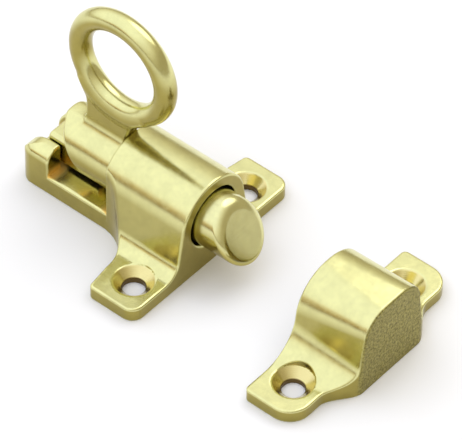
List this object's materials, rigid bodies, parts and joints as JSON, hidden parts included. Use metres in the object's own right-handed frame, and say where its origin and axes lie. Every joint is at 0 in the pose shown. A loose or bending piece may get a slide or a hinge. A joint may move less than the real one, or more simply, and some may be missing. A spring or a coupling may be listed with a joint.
{
  "type": "fanlight catch",
  "caption": "Cast brass fanlight catch with a sprung, bevelled bolt drawn back by an upright finger ring, and the separate hollow keep that the bolt shoots into.",
  "frame": {"origin": "on the mounting face, midway between the body casting's screw holes", "axes": "+X along the bolt, the way it shoots towards the keep; +Z away from the window frame, up the ring"},
  "size_m": [0.0843, 0.0462, 0.0479],
  "materials": {
    "polished_brass_casting": "polished casting",
    "polished_brass_bar": "turned and polished bar",
    "spring_steel": "bright drawn wire"
  },
  "bodies": {
    "catch_body": {"body_casting": "polished_brass_casting", "keep": "polished_brass_casting", "bolt_spring": "spring_steel"},
    "sliding_bolt": {"bolt": "polished_brass_bar", "ring_pull": "polished_brass_casting", "retaining_pin": "polished_brass_bar"}
  },
  "joints": [
    {"name": "bolt_slide", "type": "slide", "parent": "catch_body", "child": "sliding_bolt", "axis": [-1, 0, 0], "range_m": [0, 0.0045], "stiffness_N_per_m": 400, "springref_m": -0.01, "deforming": ["bolt_spring"]}
  ]
}
